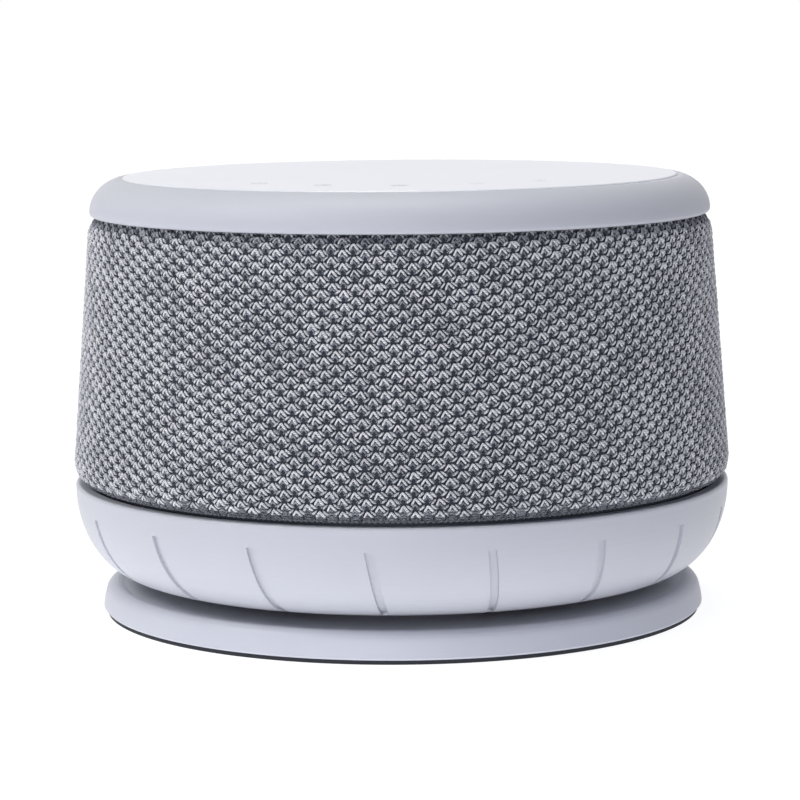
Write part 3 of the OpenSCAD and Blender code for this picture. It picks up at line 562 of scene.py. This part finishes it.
def lay_strand(template, stitch, line, knit):
    """One strand of every stitch at once, as points, shaped (stitches, points, 3), and their yarn
    attribute."""
    rings = np.array(template)
    centre, out, half_w, half_t = rings[:, :2], rings[:, 2], rings[:, 3], rings[:, 4]
    tangent = np.gradient(centre, axis=0)
    tangent /= np.linalg.norm(tangent, axis=1, keepdims=True)
    side = np.stack([-tangent[:, 1], tangent[:, 0]], axis=1)
    turn = -np.pi / 2 + 2 * np.pi * np.arange(RING_SIDES) / RING_SIDES
    # One value a stitch, shaped to spread over its rings and their sides.
    each = {key: value[:, None, None] for key, value in stitch.items()}
    wide = each["thick"][..., None] * (half_w[:, None] * np.cos(turn))[None, :, :, None]
    flat = centre[None, :, None, :] + wide * side[None, :, None, :]
    rise = out[None, :, None] + each["thick"] * (half_t[:, None] * np.sin(turn))[None]
    cos, sin = np.cos(each["tilt"]), np.sin(each["tilt"])
    x = flat[..., 0] * cos - flat[..., 1] * sin + each["x"]
    y = flat[..., 0] * sin + flat[..., 1] * cos + each["y"]
    along, radius = line[0], line[1]
    middle = float(np.interp(along[-1] / 2, along, radius))
    s = np.clip(each["s"] + y * MM, 0, along[-1])
    lean = np.tan(knit.lean) * (along[-1] / 2 - s) / middle
    points = on_sleeve(line, each["phi"] + lean + x * MM / middle, s, (rise + each["out"]) * MM)
    run = np.concatenate([[0], np.cumsum(np.linalg.norm(np.diff(centre, axis=0), axis=1))])
    facts = np.empty(points.shape)
    facts[..., 0] = run[None, :, None]
    facts[..., 1] = (np.arange(RING_SIDES) / RING_SIDES)[None, None, :]
    facts[..., 2] = np.clip(each["tone"] + each["ply"], 0, 2)
    count = len(stitch["s"])
    return points.reshape(count, -1, 3), facts.reshape(count, -1, 3)


def tension(knit, phi, s, wale):
    """How tightly the machine drew each stitch: broad patches and whole wales, about -1 to 1, the same
    for both yarns."""
    random = np.random.default_rng(YARN_SEED)
    round_starts = random.uniform(0, 6.28, len(PATCHES))
    up_starts = random.uniform(0, 6.28, len(PATCHES))
    patch = sum(
        np.sin(k * phi + a) * np.cos(m * np.pi * s + b)
        for (k, m), a, b in zip(PATCHES, round_starts, up_starts)
    )
    return PATCH_SHARE * patch + WALE_SHARE * random.normal(0, 1, knit.wales)[wale]


def stitches(knit, line, parity, random):
    """Where every stitch of one colour is, and how it differs from its neighbours."""
    whole = line[0][-1]
    courses = int((whole - knit.hem) / knit.course) + 2
    first = -HEM_ROWS if parity == GROUND else 0
    wale, row = np.meshgrid(np.arange(knit.wales), np.arange(first, courses), indexing="ij")
    mine = ((wale + row) % 2 == parity) | (row < 0)
    wale, row = wale[mine], row[mine]
    count = len(wale)
    phi = wale * 2 * np.pi / knit.wales
    s = knit.hem + np.where(row < 0, 0.5 * row, row) * knit.course
    tight = tension(knit, phi, s / whole, wale)
    loose = knit.loose
    # The order of the draws decides the knit.
    stitch = {
        "phi": phi,
        "s": s,
        "x": random.normal(0, SHIFT, count) * loose,
        "y": random.normal(0, SHIFT, count) * loose,
        "tilt": random.normal(0, TILT, count) * loose,
        "out": random.normal(0, LIFT, count) * loose,
        "thick": 1 + loose * (random.normal(0, THICKNESS, count) - TIGHT_THINS * tight),
    }
    # Hem rows are drawn darker downward with painted shade; other stitches start at the middle tone.
    tone = 0.5 - HEM_PAINTED_SHADE * np.minimum(row, 0)
    tone = tone + loose * (random.normal(0, TONE, count) + TIGHT_DARKENS * tight)
    # Painted shade under the light ring: stitches near the top are drawn darker.
    stitch["tone"] = np.clip(tone, 0, 1) + TUCK_PAINTED_SHADE * (s > whole - knit.tuck_shade_length)
    return wale, stitch


def knit_panels(name, strands, strand_shades, panels, parity, knit, line, material):
    """The yarn of one colour as a few meshes side by side round the sleeve."""
    random = np.random.default_rng(YARN_SEED + parity)
    wale, every = stitches(knit, line, parity, random)
    pieces = []
    for panel in range(panels):
        chosen = wale * panels // knit.wales == panel
        stitch = {key: value[chosen] for key, value in every.items()}
        points, facts, faces, offset = [], [], [], 0
        for template, tone in zip(strands, strand_shades):
            # The strand's painted light or shade, with a random tone of its own.
            stitch["ply"] = tone + knit.loose * random.normal(0, STRAND_TONE, len(stitch["s"]))
            placed, attribute = lay_strand(template, stitch, line, knit)
            starts = offset + np.arange(len(placed)) * placed.shape[1]
            for pattern in tube_faces(len(template)):
                faces += (starts[:, None, None] + pattern[None]).reshape(-1, pattern.shape[1]).tolist()
            points.append(placed.reshape(-1, 3))
            facts.append(attribute.reshape(-1, 3))
            offset += placed.shape[0] * placed.shape[1]
        points = np.concatenate(points).tolist()
        piece = new_mesh(f"{name}_{panel + 1:02d}", points, faces, material)
        stored = piece.data.attributes.new("yarn", "FLOAT_VECTOR", "POINT")
        stored.data.foreach_set("vector", np.concatenate(facts).astype(np.float32).ravel())
        pieces.append(piece)
    return pieces


def band(name, outline, steps, material, swell=None):
    """A closed band swept round the axis. swell gives how far each point of the outline stands out
    from its middle at an angle, 1 for as drawn."""
    ring = np.array(outline)
    middle = ring.mean(axis=0)
    points = []
    for k in range(steps):
        phi = 2 * np.pi * k / steps
        here = ring if swell is None else middle + (ring - middle) * swell(phi, ring - middle)[:, None]
        r, z = here[:, 0], here[:, 1]
        points.append(np.stack([r * np.cos(phi), r * np.sin(phi), z], axis=1))
    n = len(ring)
    faces = []
    for k in range(steps):
        near, far = k * n, (k + 1) % steps * n
        for a in range(n):
            b = (a + 1) % n
            faces.append((near + a, far + a, far + b, near + b))
    return new_mesh(name, np.concatenate(points).tolist(), faces, material)


class SOUNDMACHINE_OT_sleeve(bpy.types.Operator):
    """Knits the sleeve: a ground cloth drawn charcoal with painted shade, face and ground yarns stitch by
    stitch, a rolled hem
    """

    bl_idname = "sound_machine.sleeve"
    bl_label = "Knit the Sleeve"

    def execute(self, context):
        knit = context.scene.sound_machine_knit
        if knit.wales % 2:
            raise RuntimeError("the wales have to be an even number, for the colours to meet in step")
        line = sleeve_line(knit)
        along, radius, height, nr, nz = line
        # Each yarn blends toward its shade colour with its random tone and with painted shade.
        light, light_shade = tuple(knit.light), linear("#636671")
        dark, dark_shade = tuple(knit.dark), linear("#292d36")
        face = yarn("Knitted polyester, face yarn", light, light_shade, spread=0.4, valley=0.66)
        ground = yarn("Knitted polyester, ground yarn", dark, dark_shade, spread=0.45, valley=0.85)
        # Painted shade: the ground cloth between the stitches is drawn charcoal, far darker than the
        # ground yarn.
        cloth = shaded_backing_cloth("Knitted polyester, ground cloth in painted shade", linear("#40454f"))

        rows = np.linspace(0, along[-1], CLOTH_ROWS)
        r, z, out_r, out_z = (np.interp(rows, along, part) for part in (radius, height, nr, nz))
        skins = [np.stack([r - d * MM * out_r, z - d * MM * out_z], axis=1) for d in CLOTH_FACES]
        outline = np.concatenate([skins[0], skins[1][::-1]])
        backing = band("sleeve_ground", outline.tolist(), 2 * knit.wales, cloth)
        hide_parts("fabric_sleeve")

        ground_panels = max(1, knit.panels // 2)
        pieces = []
        for name, strands, strand_shades, panels, parity, dyed in (
            ("sleeve_face_yarn", FACE_STRANDS, FACE_STRAND_SHADES, knit.panels, FACE, face),
            ("sleeve_ground_yarn", GROUND_STRANDS, GROUND_STRAND_SHADES, ground_panels, GROUND, ground),
        ):
            pieces += knit_panels(name, strands, strand_shades, panels, parity, knit, line, dyed)

        cord_r, cord_z = radius[0] - CORD_INSET, height[0] + CORD_INSET
        turn = np.linspace(0, TURN, CORD_SIDES, endpoint=False)
        cord = [(cord_r + CORD_RADIUS * math.cos(t), cord_z + CORD_RADIUS * math.sin(t)) for t in turn]

        def swell(phi, away):
            return 1 + CORD_SWELL * np.sin(2 * knit.wales * phi + CORD_SLANT * (away[:, 0] + away[:, 1]))

        pieces.append(band("sleeve_hem", cord, 8 * knit.wales, ground, swell))
        return {"FINISHED"}


# ---------------------------------------------------------------- the touch marks

ARC_STEPS = 48


def circle(radius, start=0.0, end=360.0):
    """Points of an arc round the origin, from one angle in degrees to another."""
    t = np.radians(np.linspace(start, end, ARC_STEPS + 1))
    return np.stack([radius * np.cos(t), radius * np.sin(t)], axis=1).tolist()


def ray(turn, start, end):
    """A short line pointing away from the origin, at an angle in degrees."""
    cos, sin = math.cos(math.radians(turn)), math.sin(math.radians(turn))
    return [(start * cos, start * sin), (end * cos, end * sin)]


# Plain symbols in millimetres, each a list of lines. A touch plate of this kind has them for power,
# a timer, the light, and less and more.
SYMBOLS = {
    "power": [circle(1.7, 120, 420), [(0, 0.3), (0, 2.1)]],
    "timer": [circle(1.8), [(0, 0), (0, 1.2)], [(0.1, 0), (0.9, 0)]],
    "light": [circle(0.95)] + [ray(turn, 1.45, 2.1) for turn in range(0, 360, 45)],
    "less": [[(-1.5, 0), (1.5, 0)]],
    "more": [[(-1.5, 0), (1.5, 0)], [(0, 0.16), (0, 1.5)], [(0, -0.16), (0, -1.5)]],
}
SYMBOL_TURNS = (-44, -22, 0, 22, 44)  # degrees from the front, round the plate
SYMBOL_RING = 44.0  # millimetres from the axis
LINE_WIDTH, FILM = 0.32, 0.03 * MM


def stroke(points, width):
    """A flat ribbon of even width along a line of points, closed if the line ends where it began: its
    two sides."""
    p = np.array(points, float)
    closed = len(p) > 2 and np.allclose(p[0], p[-1])
    if closed:
        p = p[:-1]
        d = np.roll(p, -1, 0) - np.roll(p, 1, 0)
    else:
        d = np.gradient(p, axis=0)
    d /= np.linalg.norm(d, axis=1, keepdims=True)
    side = np.stack([-d[:, 1], d[:, 0]], axis=1) * width / 2
    return p + side, p - side, closed


class SOUNDMACHINE_OT_touch_marks(bpy.types.Operator):
    """Prints the plain touch symbols on the plate"""

    bl_idname = "sound_machine.touch_marks"
    bl_label = "Print the Touch Marks"

    def execute(self, context):
        ink = printed_ink("Pad-printed ink", tuple(context.scene.sound_machine_moulded.ink))
        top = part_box("top_plate")[1].z
        for turn, (name, lines) in zip(SYMBOL_TURNS, SYMBOLS.items()):
            away = math.radians(turn - 90)
            cx, cy = SYMBOL_RING * math.cos(away), SYMBOL_RING * math.sin(away)
            points, faces = [], []
            for line in lines:
                left, right, closed = stroke(line, LINE_WIDTH)
                first, n = len(points), len(left)
                # Four rows of points: left and right on the plate, and the same on top of the film.
                for row, z in ((left, top), (right, top), (left, top + FILM), (right, top + FILM)):
                    points += [((cx + x) * MM, (cy + y) * MM, z) for x, y in row]
                for k in range(n if closed else n - 1):
                    j = (k + 1) % n
                    for a, b in ((2, 3), (0, 2), (3, 1), (1, 0)):
                        corners = ((a, k), (b, k), (b, j), (a, j))
                        faces.append(tuple(first + side * n + at for side, at in corners))
                if not closed:
                    faces.append(tuple(first + a * n for a in (0, 1, 3, 2)))
                    faces.append(tuple(first + a * n + n - 1 for a in (2, 3, 1, 0)))
            piece = new_mesh(f"touch_mark_{name}", points, faces, ink)
            piece.data.shade_flat()
        return {"FINISHED"}


# ---------------------------------------------------------------- the stage

FLOOR_HALF, FLOOR_DROP = 3.0, 0.02 * MM
SHADOW_START, SHADOW_END = 0.07, 0.2  # metres from the axis over which the floor goes plain white
SHADOW_LIFT = 0.78  # how far the floor is lifted to white where the shadow falls
PAPER_WHITE = 1.06
SLANT_REACH = 0.25  # metres to each side over which the floor's glow changes
AIM_HEIGHT = 0.05
CAMERA_PLACE = (-0.0003, -0.70465, 0.13908)
CAMERA_DOWN, CAMERA_ROLL = 7.414, -0.5  # degrees
SENSOR_WIDTH = 36.0  # millimetres, as a camera's own lens settings are


def seen_directly(tree):
    """1 for a ray from the camera, off a gloss or through a clear part, 0 for one that carries light."""
    path = add(tree, "ShaderNodeLightPath").outputs
    seen = maths(tree, "MAXIMUM", path["Is Camera Ray"], path["Is Glossy Ray"])
    return maths(tree, "MAXIMUM", seen, path["Is Transmission Ray"])


class SOUNDMACHINE_OT_stage(bpy.types.Operator):
    """Sets the pale floor, the white surroundings, the soft lights and the camera"""

    bl_idname = "sound_machine.stage"
    bl_label = "Set the Stage"

    def execute(self, context):
        scene, stage = context.scene, context.scene.sound_machine_stage
        self.lay_floor(scene, stage)
        self.light_world(scene, stage)
        self.hang_lamps(scene, stage)
        self.place_camera(scene, stage)
        scene.view_settings.view_transform = "Standard"
        return {"FINISHED"}

    def lay_floor(self, scene, stage):
        """Matt paper: it keeps its shadow, and to the camera and in reflections it is lifted to white."""
        paper, tree, spot = new_material("Matt paper sweep")
        # Near the object it is only partly lifted, so the contact shadow stays.
        far = add(tree, "ShaderNodeVectorMath", {0: spot}, operation="LENGTH").outputs["Value"]
        ends = (SHADOW_START, SHADOW_END, SHADOW_LIFT, 1.0)
        near_lift = spread_out(tree, far, *ends, interpolation_type="SMOOTHSTEP")
        lift = maths(tree, "MULTIPLY", seen_directly(tree), near_lift)
        matt = add(tree, "ShaderNodeBsdfDiffuse", {"Color": tuple(stage.floor)})
        # The paper throws up more light on the key light's side.
        across = add(tree, "ShaderNodeSeparateXYZ", {"Vector": spot}).outputs["X"]
        most, least = stage.glow * (1 + stage.slant), stage.glow * (1 - stage.slant)
        thrown = spread_out(tree, across, -SLANT_REACH, SLANT_REACH, most, least)
        glow = add(tree, "ShaderNodeEmission", {"Color": tuple(stage.bounce), "Strength": thrown})
        lit = add(tree, "ShaderNodeAddShader", {0: matt.outputs[0], 1: glow.outputs[0]})
        white = add(tree, "ShaderNodeEmission", {"Color": (1, 1, 1, 1), "Strength": PAPER_WHITE})
        mixed = add(tree, "ShaderNodeMixShader", {0: lift, 1: lit.outputs[0], 2: white.outputs[0]})
        add(tree, "ShaderNodeOutputMaterial", {"Surface": mixed.outputs[0]})
        mesh = bpy.data.meshes.new("floor")
        corners = [(FLOOR_HALF * x, FLOOR_HALF * y, 0) for x, y in ((-1, -1), (1, -1), (1, 1), (-1, 1))]
        mesh.from_pydata(corners, [], [(0, 1, 2, 3)])
        mesh.materials.append(paper)
        floor = bpy.data.objects.new("floor", mesh)
        floor.location.z = -FLOOR_DROP
        scene.collection.objects.link(floor)

    def light_world(self, scene, stage):
        """A faint blue light from all round, which the camera and reflections see as white."""
        world = bpy.data.worlds.new("studio")
        world.use_nodes = True
        tree = world.node_tree
        tree.nodes.clear()
        sky = add(tree, "ShaderNodeBackground", {"Color": linear("#8fa9ff"), "Strength": stage.sky})
        white = add(tree, "ShaderNodeBackground", {"Color": (1, 1, 1, 1), "Strength": 1.0})
        seen = seen_directly(tree)
        mixed = add(tree, "ShaderNodeMixShader", {0: seen, 1: sky.outputs[0], 2: white.outputs[0]})
        add(tree, "ShaderNodeOutputWorld", {"Surface": mixed.outputs[0]})
        scene.world = world

    def hang_lamps(self, scene, stage):
        """Three round softboxes, turned to the middle of the object."""
        aim = Vector((0, 0, AIM_HEIGHT))
        # Name, place and width in metres, watts and colour.
        for name, place, size, watts, tint in (
            ("key", (-1.2, -0.45, 1.35), 0.8, stage.key, (1, 1, 1)),
            ("top", (-0.08, 0.0, 1.8), 1.2, stage.top, (1, 1, 1)),
            ("front", (-0.2, -1.6, 0.25), 0.9, stage.front, tuple(stage.cool)[:3]),
        ):
            lamp = bpy.data.lights.new(name, "AREA")
            lamp.shape, lamp.size, lamp.energy, lamp.color = "DISK", size, watts, tint
            holder = bpy.data.objects.new(name, lamp)
            holder.location = place
            holder.rotation_euler = (aim - Vector(place)).to_track_quat("-Z", "Y").to_euler()
            scene.collection.objects.link(holder)

    def place_camera(self, scene, stage):
        """A long lens at the front, a little above the object and tilted down to it."""
        lens = bpy.data.cameras.new("camera")
        lens.lens, lens.sensor_width = stage.lens, SENSOR_WIDTH
        camera = bpy.data.objects.new("camera", lens)
        tilt = Matrix.Rotation(math.radians(90 - CAMERA_DOWN), 4, "X")
        roll = Matrix.Rotation(math.radians(CAMERA_ROLL), 4, "Z")
        camera.matrix_world = Matrix.Translation(CAMERA_PLACE) @ (tilt @ roll)
        scene.collection.objects.link(camera)
        scene.camera = camera


# ---------------------------------------------------------------- panel and running

OPERATORS = (
    SOUNDMACHINE_OT_mouldings,
    SOUNDMACHINE_OT_works,
    SOUNDMACHINE_OT_sleeve,
    SOUNDMACHINE_OT_touch_marks,
    SOUNDMACHINE_OT_stage,
)


class SOUNDMACHINE_PT_panel(bpy.types.Panel):
    """Lists the steps that dress the sound machine"""

    bl_label = "Sound Machine"
    bl_idname = "SOUNDMACHINE_PT_panel"
    bl_space_type = "VIEW_3D"
    bl_region_type = "UI"
    bl_category = "Sound Machine"

    def draw(self, context):
        for operator in OPERATORS:
            self.layout.operator(operator.bl_idname)


SETTINGS = {
    "sound_machine_knit": KnitSettings,
    "sound_machine_moulded": MouldedSettings,
    "sound_machine_stage": StageSettings,
}


def register():
    for made in (*SETTINGS.values(), *OPERATORS, SOUNDMACHINE_PT_panel):
        bpy.utils.register_class(made)
    for name, group in SETTINGS.items():
        setattr(bpy.types.Scene, name, PointerProperty(type=group))


def unregister():
    for name in SETTINGS:
        delattr(bpy.types.Scene, name)
    for made in reversed((*SETTINGS.values(), *OPERATORS, SOUNDMACHINE_PT_panel)):
        bpy.utils.unregister_class(made)


def main():
    register()
    for operator in OPERATORS:
        group, name = operator.bl_idname.split(".")
        getattr(getattr(bpy.ops, group), name)()


if __name__ == "__main__":
    main()
